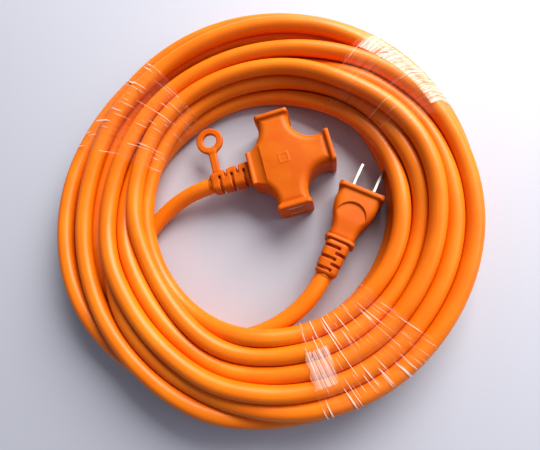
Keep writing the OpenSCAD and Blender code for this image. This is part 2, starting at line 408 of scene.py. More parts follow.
@dataclass(frozen=True)
class RigidInsert(Finish):
    """Hard plastic with a fine moulded grain."""

    colour: tuple[float, float, float] = (0.78, 0.72, 0.62)

    def build(self, graph: Graph) -> bpy.types.Material:
        """Builds the plastic's node tree.

        Args:
            graph: the tree's builder.

        Returns:
            The material.
        """
        clouds = graph.noise(120.0, 3.0)
        grain = graph.noise(2400.0, 2.0)
        deep = tuple(0.86 * c for c in self.colour)
        return graph.surface(
            Base_Color=graph.mixed(clouds.steps(0.3, 0.7), deep, self.colour),
            Roughness=0.42 + grain * 0.12,
            Normal=graph.bump(grain, 0.3, 0.00006),
        )


@dataclass(frozen=True)
class StretchFilm(Finish):
    """Clear film pulled tight: nearly unseen, with a painted highlight on each crease as pale, nearly
    opaque streaks, and a few milky folds.

    Attributes:
        middle: the direction of the film's middle, in degrees.
        folds: each fold's first and last angle from the middle and nearest and furthest radius.
        creases: how much of the painted crease highlight shows, from 0 to 1.
        slant: how many degrees a crease turns in each metre outwards.
    """

    middle: float
    folds: tuple[tuple[float, float, float, float], ...]
    creases: float = 0.5
    slant: float = 60.0

    def build(self, graph: Graph) -> bpy.types.Material:
        """Builds the film's node tree.

        Args:
            graph: the tree's builder.

        Returns:
            The material.
        """
        place = graph.coordinates()
        split = {k: graph.node("ShaderNodeSeparateXYZ", inputs={0: place}, output=k) for k in (0, 1, 2)}
        far, side = self.turned(split)
        radius = (far * far + side * side).maths("SQRT")
        angle = side.maths("ARCTAN2", far) * 57.296
        slanted = angle + (radius - 0.1) * self.slant
        fine = self.streaks(graph, slanted, radius, split[2], 2.6, 30.0, 0.0)
        broad = self.streaks(graph, slanted, radius, split[2], 0.5, 42.0, 7.0)
        wrinkle = self.streaks(graph, slanted, radius, split[2], 1.6, 9.0, 3.0)
        # Painted highlight: the crease glints are thin streaks of pale, nearly opaque film instead of
        # reflections.
        limit = 0.70 - 0.10 * self.creases
        painted_glints = fine.steps(limit, limit + 0.03) * broad.steps(0.46, 0.54)
        milky = None
        for first, last, near, out in self.folds:
            lean = angle + (radius - 0.5 * (near + out)) * 90.0
            patch = lean.steps(first, first + 0.4) * (1 - lean.steps(last - 1.2, last))
            patch = patch * radius.steps(near, near + 0.001) * (1 - radius.steps(out - 0.001, out))
            crushed = 0.25 + 0.35 * wrinkle.steps(0.36, 0.56) + 0.4 * fine.steps(0.42, 0.60)
            patch = patch * crushed * split[2].steps(0.017, 0.02)
            milky = patch if milky is None else milky.larger(patch)
        haze = 0.025 + 0.075 * wrinkle.steps(0.45, 0.75)
        # Painted highlight: where the crease glints are painted the film is pale and up to 0.8 opaque;
        # the milky folds are pale and up to 0.58 opaque; elsewhere a faint orange-tinted haze.
        cover = haze.larger(painted_glints * 0.8).larger(milky * 0.58)
        tint = graph.mixed(milky.larger(painted_glints), (0.84, 0.50, 0.34), (0.88, 0.76, 0.68))
        height = fine * 0.5 + wrinkle * 0.5
        return graph.surface(
            Base_Color=tint,
            Roughness=0.16 + wrinkle * 0.12,
            Alpha=cover.clamped(),
            Normal=graph.bump(height, 0.7, 0.0005),
            IOR=1.45,
        )

    def turned(self, split: dict[int, Wire]) -> tuple[Wire, Wire]:
        """The place along and across the film's middle direction, in metres."""
        cosine, sine = math.cos(math.radians(self.middle)), math.sin(math.radians(self.middle))
        return split[0] * cosine + split[1] * sine, split[1] * cosine - split[0] * sine

    @staticmethod
    def streaks(
        graph: Graph, angle: Wire, radius: Wire, height: Wire, across: float, along: float, seed: float
    ) -> Wire:
        """Noise drawn out along the wrapping direction.

        Args:
            graph: the tree's builder.
            angle: degrees round the coil.
            radius: metres from the coil's centre.
            height: metres above the table.
            across: features in a degree.
            along: features in a metre along the streaks.
            seed: moves the pattern.

        Returns:
            The noise.
        """
        vector = {0: angle * across + seed, 1: radius * along, 2: height * along}
        place = graph.node("ShaderNodeCombineXYZ", inputs=vector)
        return graph.noise(1.0, 2.0, place)


@dataclass(frozen=True)
class TableTop(Finish):
    """Pale painted board with a barely visible tooth."""

    colour: tuple[float, float, float] = (0.51, 0.513, 0.57)

    def build(self, graph: Graph) -> bpy.types.Material:
        """Builds the table's node tree.

        Args:
            graph: the tree's builder.

        Returns:
            The material.
        """
        clouds = graph.noise(9.0, 4.0)
        tooth = graph.noise(900.0, 3.0)
        dull = tuple(c * 0.975 for c in self.colour)
        return graph.surface(
            Base_Color=graph.mixed(clouds, dull, self.colour),
            Roughness=0.62 + tooth * 0.1,
            Normal=graph.bump(tooth, 0.15, 0.0002),
        )


# ---------- meshes ----------


def make_mesh(
    name: str, points: np.ndarray, faces: Sequence[Sequence[int]], smooth: bool = True
) -> bpy.types.Object:
    """Makes an object from points in millimetres.

    Args:
        name: the piece's name.
        points: the corners, in the row frame.
        faces: indices of each face's corners.
        smooth: shades the faces smooth.

    Returns:
        The object, in the scene.
    """
    mesh = bpy.data.meshes.new(name)
    mesh.from_pydata((np.asarray(points, float) * MM).tolist(), [], [list(f) for f in faces])
    mesh.validate()
    mesh.polygons.foreach_set("use_smooth", [smooth] * len(mesh.polygons))
    made = bpy.data.objects.new(name, mesh)
    bpy.context.scene.collection.objects.link(made)
    return made


def spline(points: np.ndarray, parts: int) -> np.ndarray:
    """A Catmull-Rom curve through points.

    Args:
        points: the points, one a row.
        parts: how many pieces each span is cut into.

    Returns:
        The curve's points.
    """
    ends = np.vstack([2 * points[0] - points[1], points, 2 * points[-1] - points[-2]])
    a, b, c, d = ends[:-3], ends[1:-2], ends[2:-1], ends[3:]
    rows = []
    for t in np.arange(parts) / parts:
        rows.append(
            0.5 * (2 * b + (c - a) * t + (2 * a - 5 * b + 4 * c - d) * t**2
                   + (3 * b - a - 3 * c + d) * t**3)
        )
    curve = np.stack(rows, axis=1).reshape(-1, points.shape[1])
    return np.vstack([curve, points[-1:]])


def even_steps(points: np.ndarray, step: float) -> np.ndarray:
    """A smooth curve along points, cut into equal steps.

    Args:
        points: the points, one a row.
        step: the wanted distance between the new points.

    Returns:
        The curve's points.
    """
    curve = spline(points, 8)
    along = np.concatenate([[0], np.cumsum(np.linalg.norm(np.diff(curve, axis=0), axis=1))])
    places = np.linspace(0, along[-1], int(round(along[-1] / step)) + 1)
    even = np.stack([np.interp(places, along, column) for column in curve.T], axis=1)
    for _ in range(14):
        even[1:-1] += 0.5 * (0.5 * (even[:-2] + even[2:]) - even[1:-1])
    return even


def sweep(path: np.ndarray, radius: float, sides: int) -> tuple[np.ndarray, list[list[int]]]:
    """A round tube along a path, without twist.

    Args:
        path: the centreline.
        radius: the tube's radius.
        sides: corners of each ring.

    Returns:
        The tube's points and faces.
    """
    heading = np.gradient(path, axis=0)
    heading /= np.linalg.norm(heading, axis=1)[:, None]
    side = np.cross(heading[0], (0.0, 0.0, 1.0))
    turn = 2 * np.pi * np.arange(sides) / sides
    rings = []
    for place, ahead in zip(path, heading):
        side = side - ahead * (side @ ahead)
        side /= np.linalg.norm(side)
        up = np.cross(side, ahead)
        rings.append(place + radius * (np.cos(turn)[:, None] * side + np.sin(turn)[:, None] * up))
    faces = []
    for i in range(len(path) - 1):
        for k in range(sides):
            n = (k + 1) % sides
            faces.append([i * sides + k, i * sides + n, (i + 1) * sides + n, (i + 1) * sides + k])
    faces.append([k for k in range(sides)][::-1])
    faces.append([(len(path) - 1) * sides + k for k in range(sides)])
    return np.vstack(rings), faces


# ---------- moulded solids ----------


def block(
    p: np.ndarray, middle: Sequence[float], half: Sequence[Values], corner: float
) -> np.ndarray:
    """Signed distance to a box with rounded edges.

    Args:
        p: places, in millimetres.
        middle: the box's centre.
        half: its half sizes.
        corner: the radius of its edges.

    Returns:
        The distance, below 0 inside.
    """
    q = [np.abs(p[:, k] - middle[k]) - half[k] + corner for k in range(3)]
    outside = np.sqrt(sum(np.maximum(a, 0) ** 2 for a in q))
    return outside + np.minimum(np.maximum(np.maximum(q[0], q[1]), q[2]), 0) - corner


def fillet(a: np.ndarray, b: np.ndarray, radius: Values) -> np.ndarray:
    """Joins two solids with a round fillet.

    Args:
        a: distance to the first.
        b: distance to the second.
        radius: the fillet's radius.

    Returns:
        Distance to both together.
    """
    near = np.hypot(np.maximum(radius - a, 0), np.maximum(radius - b, 0))
    return np.maximum(radius, np.minimum(a, b)) - near


def carve(solid: np.ndarray, tool: np.ndarray, edge: float = 0.3) -> np.ndarray:
    """Cuts a tool out of a solid and rounds the edge of the cut.

    Args:
        solid: distance to the solid.
        tool: distance to what is cut away.
        edge: the radius of the cut's edge.

    Returns:
        Distance to what is left.
    """
    near = np.hypot(np.maximum(edge + solid, 0), np.maximum(edge - tool, 0))
    return np.minimum(-edge, np.maximum(solid, -tool)) + near


def skin(
    shape: Field, low: Sequence[float], high: Sequence[float], step: float
) -> tuple[np.ndarray, np.ndarray]:
    """Lays a mesh of quads over a solid that is given as a distance field.

    Args:
        shape: the distance for each row of an array of places.
        low: the lowest corner of the space that is searched.
        high: its highest corner.
        step: the mesh's cell, in millimetres.

    Returns:
        The points and the quads.
    """
    axes = [np.arange(a - step, b + 2 * step, step) for a, b in zip(low, high)]
    grid = np.stack(np.meshgrid(*axes, indexing="ij"), axis=-1)
    value = shape(grid.reshape(-1, 3)).reshape(grid.shape[:3])
    total, count = np.zeros_like(grid), np.zeros(grid.shape[:3])
    crossings = []
    for axis in range(3):
        ahead = np.roll(value, -1, axis)
        hit = (value < 0) != (ahead < 0)
        hit[tuple(slice(None) if k != axis else -1 for k in range(3))] = False
        at = np.argwhere(hit)
        share = value[hit] / (value[hit] - ahead[hit])
        place = grid[hit]
        place[:, axis] += share * step
        u, v = (np.eye(3, dtype=int)[(axis + k) % 3] for k in (1, 2))
        cells = [at, at - u, at - u - v, at - v]
        for cell in cells:
            np.add.at(total, tuple(cell.T), place)
            np.add.at(count, tuple(cell.T), 1)
        inward = value[hit] < 0
        crossings.append((cells, inward))
    used = count > 0
    index = np.full(count.shape, -1)
    index[used] = np.arange(used.sum())
    points = total[used] / count[used][:, None]
    quads = []
    for cells, inward in crossings:
        ring = np.stack([index[tuple(c.T)] for c in cells], axis=1)
        quads.append(np.where(inward[:, None], ring, ring[:, ::-1]))
    for _ in range(2):
        slope = np.stack(
            [(shape(points + d) - shape(points - d)) / 0.1 for d in 0.05 * np.eye(3)], axis=1
        )
        steep = np.maximum((slope**2).sum(1), 0.2)
        points = points - np.clip(shape(points) / steep, -0.3, 0.3)[:, None] * slope
    return points, np.vstack(quads)


@dataclass(frozen=True)
class Seat:
    """The place of a moulding whose strain relief bends about a joint.

    Attributes:
        joint: the joint's name.
        pivot_x: where the pivot is along the moulding's own x axis.
        nose_down: how far its nose points down, in degrees.
    """

    joint: str
    pivot_x: float
    nose_down: float = 0.0

    def axes(self) -> np.ndarray:
        """The moulding's own axes.

        Returns:
            A matrix with one axis in each column.
        """
        pin = self.record()["axis"]
        yaw = math.atan2(pin[0], -pin[1])
        pitch = math.radians(self.nose_down)
        turn = Matrix.Rotation(yaw, 3, "Z") @ Matrix.Rotation(pitch, 3, "Y")
        return np.array(turn)

    def record(self) -> dict[str, Any]:
        """The joint as it was packed."""
        return next(j for j in frame["joints"] if j["name"] == self.joint)

    def place(self, points: Any) -> np.ndarray:
        """Moves points from the moulding's own space to the row frame.

        Args:
            points: places in the moulding's space, in millimetres.

        Returns:
            The same places in the row frame, in millimetres.
        """
        pivot = np.array(self.record()["pos_m"]) / MM
        return (np.atleast_2d(points) - (self.pivot_x, 0, 0)) @ self.axes().T + pivot

    def metres(self, x: float, y: float = 0.0, z: float = 0.0) -> tuple[float, ...]:
        """One place in the moulding's space, in metres in the row frame."""
        return tuple(self.place((x, y, z))[0] * MM)


@dataclass
class Moulded:
    """A solid with a place of its own."""

    seat: Seat

    def cast(
        self, name: str, shape: Field, low: Sequence[float], high: Sequence[float], step: float
    ) -> bpy.types.Object:
        """Makes a piece from a distance field.

        Args:
            name: the piece's name.
            shape: the field, in the moulding's own space.
            low: the lowest corner of the space that holds the piece.
            high: its highest corner.
            step: the mesh's cell.

        Returns:
            The piece, dressed as a moulding.
        """
        points, quads = skin(shape, low, high, step)
        piece = make_mesh(name, self.seat.place(points), quads.tolist())
        piece.data.materials.append(Moulding().material())
        LOG.info("%s: %d faces", name, len(piece.data.polygons))
        return piece


@dataclass
class Sleeve(Moulded):
    """A slotted strain relief with the end of the cord inside it.

    Attributes:
        name: the piece's name.
        body: the body of the moulding that it belongs to; not used.
        back: where it leaves the moulding.
        length: its length.
        thick: its width where it leaves the moulding.
        thin: its width at its mouth.
        pitch: the distance between slots.
        long_side: 1 or -1, the side with the slots at odd numbers.
        node: the CAD node that it stands for.
    """

    name: str
    body: str
    back: float
    length: float
    thick: float
    thin: float
    pitch: float
    long_side: int
    node: str
    slot: float = 1.7
    bore: float = 5.05
    reaches: tuple[float, float] = (2.6, -0.8)

    def shape(self, p: np.ndarray) -> np.ndarray:
        """The sleeve's distance field.

        Args:
            p: places in the moulding's own space, in millimetres.

        Returns:
            The distance, below 0 inside.
        """
        share = np.clip((self.back - p[:, 0]) / self.length, 0, 1)
        half = 0.5 * (self.thick + (self.thin - self.thick) * share)
        middle = self.back - self.length / 2 + 0.5
        form = block(p, (middle, 0, 0), (self.length / 2 + 0.5, half, half), 3.4)
        for k in range(1, 6):
            side = self.long_side if k % 2 else -self.long_side
            reach = self.reaches[(k + 1) % 2]
            x = self.back - self.pitch * k - 0.8
            tool = block(p, (x, side * (10 - reach), 0), (self.slot / 2, 10, 9), 0.5)
            if x > self.back - self.length + 2:
                form = carve(form, tool, 0.35)
        bore = np.hypot(p[:, 1], p[:, 2]) - self.bore
        return carve(form, bore, 0.25)

    def build(self) -> bpy.types.Object:
        """Makes the sleeve and the stretch of cord inside it.

        Returns:
            The sleeve.
        """
        mouth = self.back - self.length
        low, high = (mouth - 0.5, -8.0, -8.0), (self.back + 1.0, 8.0, 8.0)
        sleeve = self.cast(self.name, self.shape, low, high, 0.4)
        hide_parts(self.node)
        steps = np.linspace(mouth - 0.5, self.back - 1.5, 24)
        line = self.seat.place(np.stack([steps, 0 * steps, 0 * steps], axis=1))
        core = make_mesh(self.name + "_cord", *sweep(line, 4.97, 32))
        core.data.uv_layers.new(name="sheath")
        core.data.materials.append(CordSheath().material())
        for piece in (sleeve, core):
            start, end = self.seat.metres(mouth + 1), self.seat.metres(self.back - 1)
            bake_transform(piece)
        return sleeve


class Outlet(Enum):
    """The tap's outlets, each as its number of quarter turns from the end one."""

    END = 0
    LEFT = 1
    RIGHT = -1


@dataclass
class Tap(Moulded):
    """The triple tap: a cross with concave webs, a flange at each outlet and a thin collar."""

    seat: Seat = Seat("tap_lift", -33.75)
    arm: float = 19.4
    height: float = 24.0
    reach: float = 30.5
    flange: tuple[float, float, float] = (2.8, 21.0, 27.0)
    front_web: float = 13.5
    back_web: float = 15.0
    slot_height: float = 3.0
    slot_width: float = 9.0
    pole: float = 6.35

    def shape(self, p: np.ndarray) -> np.ndarray:
        """The tap's distance field.

        Args:
            p: places in the moulding's own space, in millimetres.

        Returns:
            The distance, below 0 inside.
        """
        arm, tall = self.arm / 2, self.height / 2
        x, y = p[:, 0], p[:, 1]
        along = np.maximum(np.abs(x - 5) - 24, np.abs(y) - arm)
        across = np.maximum(np.abs(x) - arm, np.abs(y) - self.reach + 1.5)
        web = self.back_web + (self.front_web - self.back_web) * np.clip(0.5 + x / 8, 0, 1)
        flat = fillet(along, across, web)
        crown = 0.035 * np.clip(20 - np.hypot(x, y), 0, 20)
        edge = np.stack([flat + 5.0, np.abs(p[:, 2]) - tall - crown + 5.0], axis=1)
        form = np.linalg.norm(np.maximum(edge, 0), axis=1) + np.minimum(edge.max(1), 0) - 5.0
        drop = np.abs(p[:, 2]) - 10.2 - (x + 18) ** 2 / 24
        form = np.where(x < -12, np.maximum(form, drop), form)
        for outlet in Outlet:
            form = fillet(form, self.plate(self.turned(p, outlet.value)), 2.2)
        collar = block(p, (-20.0, 0, 0), (1.0, 10.5, 10.75), 0.9)
        form = fillet(form, collar, 1.2)
        boss = np.abs(np.maximum(np.abs(x - 1), np.abs(y)) - 2.6) - 0.3
        form = np.minimum(form, np.maximum(boss, np.abs(p[:, 2] - tall - 0.4) - 0.42))
        for outlet in Outlet:
            q = self.turned(p, outlet.value)
            for pole in (-self.pole, self.pole):
                half = (12.0, self.slot_width / 2, self.slot_height / 2)
                form = carve(form, block(q, (self.reach, 0, pole), half, 0.3), 0.35)
        return form

    @staticmethod
    def turned(p: np.ndarray, quarter: int) -> np.ndarray:
        """Places turned by a quarter turn, so that each outlet can be drawn as the end one.

        Args:
            p: the places.
            quarter: 0 for the end outlet, 1 for the left and -1 for the right.

        Returns:
            The turned places.
        """
        if quarter == 0:
            return p
        return np.stack([quarter * p[:, 1], -quarter * p[:, 0], p[:, 2]], axis=1)

    def plate(self, p: np.ndarray) -> np.ndarray:
        """An outlet's flange, with its corners rounded and a shallow dish in its face.

        Args:
            p: places turned so that the outlet is the end one.

        Returns:
            The distance.
        """
        thick, wide, tall = self.flange
        middle = (self.reach - thick / 2, 0, 0)
        plate = block(p, middle, (thick / 2, wide / 2, tall / 2), 1.0)
        corner = block(p, middle, (9.0, wide / 2, tall / 2), 2.5)
        dish = block(p, (self.reach + 0.6, 0, 0), (1.0, wide / 2 - 2.2, tall / 2 - 2.2), 0.9)
        return carve(np.maximum(plate, corner), dish, 0.3)

    def build(self) -> bpy.types.Object:
        """Makes the tap's shell.

        Returns:
            The shell.
        """
        shell = self.cast("tap_shell", self.shape, (-22, -31, -14), (31, 31, 14), 0.5)
        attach(shell, "tap")
        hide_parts("tap_body")
        # Pale slot liners: painted highlight on the slot edges.
        self.build_mouths()
        return shell

    def build_mouths(self) -> bpy.types.Object:
        """Makes pale liners just inside the six slots, in the carriers' colour, as a painted highlight
        on the slot edges.

        Returns:
            The liners.
        """
        wide, tall = self.slot_width / 2 - 0.05, self.slot_height / 2 - 0.05
        front, back = self.reach - 0.5, self.reach - 6.0
        rings = ((front, 0.0), (front, 0.65), (back, 0.65), (back, 0.0))
        points: list[np.ndarray] = []
        faces: list[list[int]] = []
        for outlet in Outlet:
            for pole in (-self.pole, self.pole):
                first = 16 * len(points)
                tube = [
                    (x, a * (wide - thin), pole + b * (tall - thin))
                    for x, thin in rings for a, b in ((-1, -1), (1, -1), (1, 1), (-1, 1))
                ]
                points.append(self.turned(np.array(tube), -outlet.value))
                for r in range(4):
                    for c in range(4):
                        n, e = (r + 1) % 4, (c + 1) % 4
                        faces.append([first + 4 * a + b for a, b in ((r, c), (r, e), (n, e), (n, c))])
        # Pale liners from 0.5 to 6 mm inside each slot: painted highlight on the slot edges.
        highlight_liners = make_mesh("slot_mouths", self.seat.place(np.vstack(points)), faces)
        highlight_liners.data.materials.append(RigidInsert().material())
        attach(highlight_liners, "tap")
        return highlight_liners


@dataclass
class HangLoop(Moulded):
    """The flat eye that the tap hangs from, on a short stem."""

    seat: Seat = Seat("tap_lift", -33.75)
    eye: tuple[float, float] = (-42.5, 29.19)
    outer: float = 8.7
    hole: float = 4.3
    thick: float = 3.0
    stem: float = 5.0

    def shape(self, p: np.ndarray) -> np.ndarray:
        """The loop's distance field.

        Args:
            p: places in the moulding's own space, in millimetres.

        Returns:
            The distance, below 0 inside.
        """
        out = np.hypot(p[:, 0] - self.eye[0], p[:, 1] - self.eye[1])
        middle, half = (self.outer + self.hole) / 2, (self.outer - self.hole) / 2
        ring = block(
            np.stack([out, p[:, 2], 0 * out], axis=1), (middle, 0, 0), (half, self.thick / 2, 9), 1.1
        )
        foot = 6.8
        top = self.eye[1] - middle
        bar = block(
            p, (self.eye[0], (foot + top) / 2, 0), (self.stem / 2, (top - foot) / 2, self.thick / 2), 1.1
        )
        return carve(fillet(ring, bar, 1.6), out - self.hole, 0.6)

    def build(self) -> bpy.types.Object:
        """Makes the loop.

        Returns:
            The loop.
        """
        loop = self.cast("hang_eye", self.shape, (-52, 6, -2), (-33, 39, 2), 0.35)
        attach(loop, "loop")
        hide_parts("hang_loop")
        return loop


@dataclass
class Plug(Moulded):
    """The two-blade plug: a flange, shoulders, thumb scoops, a waist and a collar."""

    seat: Seat = Seat("plug_lift", -45.25, 6.0)
    length: float = 34.5
    flange: tuple[float, float, float] = (3.0, 28.0, 20.0)
    stations: tuple[float, ...] = (-34.5, -31.0, -28.0, -23.0, -17.0, -12.0, -3.0, 0.0)
    widths: tuple[float, ...] = (16.6, 15.8, 15.5, 17.6, 23.0, 25.4, 25.8, 25.8)
    heights: tuple[float, ...] = (13.6, 13.0, 13.0, 14.0, 15.8, 16.6, 16.8, 16.8)

    def shape(self, p: np.ndarray) -> np.ndarray:
        """The plug's distance field.

        Args:
            p: places in the moulding's own space, in millimetres.

        Returns:
            The distance, below 0 inside.
        """
        x = p[:, 0]
        wide = 0.5 * self.eased(x, self.widths)
        tall = 0.5 * self.eased(x, self.heights)
        half_length = self.length / 2 - 0.5
        form = block(p, (-half_length - 0.5, 0, 0), (half_length, wide, tall), 4.2)
        for side in (-1, 1):
            thumb = np.hypot(np.maximum(x + 18.8, 0), p[:, 1]) - 8.8
            form = carve(form, np.maximum(thumb, 7.1 - side * p[:, 2]), 0.35)
        plate = block(p, (-1.5, 0, 0), (1.5, 14.0, 10.0), 1.0)
        plate = np.maximum(plate, block(p, (-1.5, 0, 0), (9.0, 14.0, 10.0), 3.0))
        form = fillet(form, plate, 1.4)
        collar = block(p, (-33.4, 0, 0), (1.1, 9.1, 8.0), 1.0)
        collar = np.maximum(collar, block(p, (-33.4, 0, 0), (9.0, 9.1, 8.0), 3.4))
        return fillet(form, collar, 1.0)

    def eased(self, x: np.ndarray, sizes: Sequence[float]) -> np.ndarray:
        """A size that changes smoothly between the plug's stations.

        Args:
            x: places along the plug.
            sizes: the size at each station.

        Returns:
            The size at each place.
        """
        spread = np.linspace(-2.0, 2.0, 5)
        return np.mean([np.interp(x + d, self.stations, sizes) for d in spread], axis=0)

    def build(self) -> bpy.types.Object:
        """Makes the plug's shell.

        Returns:
            The shell.
        """
        shell = self.cast("plug_shell", self.shape, (-35, -14.5, -10.5), (0.5, 14.5, 10.5), 0.42)
        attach(shell, "plug")
        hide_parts("plug_body")
        return shell


# ---------- the cord ----------


@dataclass(frozen=True)
class Turn:
    """One turn of the cord, as it should lie at equally spaced directions from the coil's start.

    Attributes:
        distances: how far the turn is from the coil's centre.
        heights: how high its centreline is, or one height for the whole turn.
    """

    distances: tuple[float, ...]
    heights: tuple[float, ...] = (5.0,)

    def marks(self) -> np.ndarray:
        """Distance and height, one row for each direction."""
        heights = self.heights * (len(self.distances) // len(self.heights))
        return np.stack([self.distances, heights], axis=1)


@dataclass
class Coil:
    """The wound cord. Each slice of the bundle is a set of discs that settle on each other.

    Attributes:
        diameter: the cord's diameter.
        turns: where each turn should lie.
        start: the direction where the coil starts, in degrees.
        end: the direction where it ends, in degrees.
        inner: the radius of the open middle.
        outer: the mean radius of the outer wall.
        lean: how far the outer wall bulges on one side.
        lean_toward: the direction of that side, in degrees.
        leads: the ends of the leads that pass through the coil.
        samples: slices in a turn.
        rounds: how often the discs are moved.
        stiff: bends smaller than this are left alone at the end.
        pull: the share of the way that a disc is drawn to its aim in a round.
        sink: how far a disc sinks in a round.
        push: the share of an overlap that a pair gives up at a time.
        lead_push: the same beside a lead, which stays where it is.
    """

    diameter: float
    turns: Sequence[Turn]
    start: float
    end: float
    inner: float
    outer: float
    lean: float
    lean_toward: float
    leads: Sequence[np.ndarray]
    samples: int = 96
    rounds: int = 500
    stiff: float = 0.3
    pull: float = 0.10
    sink: float = 0.04
    push: float = 0.4
    lead_push: float = 0.8

    def aims(self) -> np.ndarray:
        """Where the cord would run if nothing were in its way.

        Returns:
            Distance and height for each turn and sample.
        """
        marks = np.vstack([turn.marks() for turn in self.turns])
        parts = self.samples * len(self.turns) // len(marks)
        curve = spline(marks, parts)
        rest = self.samples * len(self.turns) - len(curve)
        return np.vstack([curve, np.repeat(curve[-1:], rest, 0)]).reshape(-1, self.samples, 2)

    def settle(self) -> np.ndarray:
        """Lets the discs push each other apart and sink until they lie on each other.

        Returns:
            Distance and height for each turn and sample.
        """
        aims = self.aims()
        turns, samples = aims.shape[:2]
        last = int(round((self.end - self.start) / 360.0 * samples))
        there = np.ones((turns, samples), bool)
        there[-1, last + 1:] = False
        both = there[:, None] & there[None] & ~np.eye(turns, dtype=bool)[:, :, None]
        angle = np.radians(self.start + 360.0 / samples * np.arange(samples) - self.lean_toward)
        wall = self.outer + self.lean * np.cos(angle) - self.diameter / 2
        place = aims.copy()
        line = np.flatnonzero(there.reshape(-1))
        guests = np.stack([self.crossing(lead) for lead in self.leads])
        reach = self.diameter
        for step in range(self.rounds):
            ease = 1 - step / self.rounds
            place += self.pull * ease * (aims - place)
            place[..., 1] -= self.sink
            place.reshape(-1, 2)[line] = self.straighten(place.reshape(-1, 2)[line])
            for _ in range(5):
                apart = place[:, None] - place[None]
                gap = np.sqrt((apart**2).sum(-1)) + 1e-6
                push = np.where(both, np.clip(reach - gap, 0, None), 0) / gap
                place += self.push * (apart * push[..., None]).sum(1)
                aside = place[:, None] - guests[None]
                gap = np.sqrt((aside**2).sum(-1)) + 1e-6
                push = np.clip(reach - gap, 0, None) / gap
                place += self.lead_push * (aside * push[..., None]).sum(1)
                place[0, :3] = aims[0, :3]
                place[-1, last - 3:last + 1] = aims[-1, last - 3:last + 1]
                place[..., 0] = np.clip(place[..., 0], self.inner + reach / 2, wall)
                place[..., 1] = np.clip(place[..., 1], reach / 2, None)
        for _ in range(self.rounds // 8):
            place.reshape(-1, 2)[line] = self.straighten(place.reshape(-1, 2)[line], self.stiff)
        apart = place[:, None] - place[None]
        gap = np.where(both, np.sqrt((apart**2).sum(-1)), 99.0)
        top = place.reshape(-1, 2)[line][:, 1].max() + reach / 2
        LOG.info("coil: closest strands %.2f mm apart, %.1f mm high", gap.min(), top)
        return place.reshape(-1, 2)[line]

    @staticmethod
    def straighten(strand: np.ndarray, least: float = 0.0) -> np.ndarray:
        """Moves each sample half way to the middle of its neighbours, where the cord bends.

        Args:
            strand: distance and height of each sample, from end to end.
            least: bends smaller than this, in millimetres of sagitta, are left alone.

        Returns:
            The straighter strand.
        """
        pull = 0.5 * (strand[:-2] + strand[2:]) - strand[1:-1]
        pull[(pull**2).sum(1) < least**2] = 0.0
        pull[:3] = 0.0
        pull[-3:] = 0.0
        moved = strand.copy()
        moved[1:-1] += 0.5 * pull
        return moved

    def crossing(self, lead: np.ndarray) -> np.ndarray:
        """Where a lead that leaves the coil passes through its slices.

        Args:
            lead: the lead's points, in millimetres.

        Returns:
            Distance and height for each sample, far away where the lead isn't.
        """
        angle = np.degrees(np.unwrap(np.arctan2(lead[:, 1], lead[:, 0]))) % 360.0
        slices = (self.start + 360.0 / self.samples * np.arange(self.samples)) % 360.0
        order = np.argsort(angle)
        distance = np.hypot(lead[:, 0], lead[:, 1])[order]
        r = np.interp(slices, angle[order], distance, left=1e3, right=1e3)
        return np.stack([r, np.interp(slices, angle[order], lead[order, 2])], axis=1)

    def points(self) -> np.ndarray:
        """The wound cord's centreline.

        Returns:
            The points, in millimetres.
        """
        settled = self.settle()
        angle = np.radians(self.start + 360.0 / self.samples * np.arange(len(settled)))
        return np.stack(
            [settled[:, 0] * np.cos(angle), settled[:, 0] * np.sin(angle), settled[:, 1]], axis=1
        )


TAP_ROUTE = [
    (-34, 15.5, 13.5), (-43, 13, 12.7), (-52, 9.6, 10.4), (-60.5, 4.6, 7.8), (-68.4, -1.8, 6),
    (-75.4, -9.4, 5.3), (-81.3, -18, 5.2),
]
PLUG_ROUTE = [
    (35.5, -41.5, 15.8), (31.4, -49.4, 16.5), (26.2, -56.4, 16.8), (19.2, -62.8, 16.6),
    (10.8, -68.6, 16.2), (1.5, -73.4, 15.8), (-8.5, -76.8, 15.5), (-19, -79, 15.4),
]


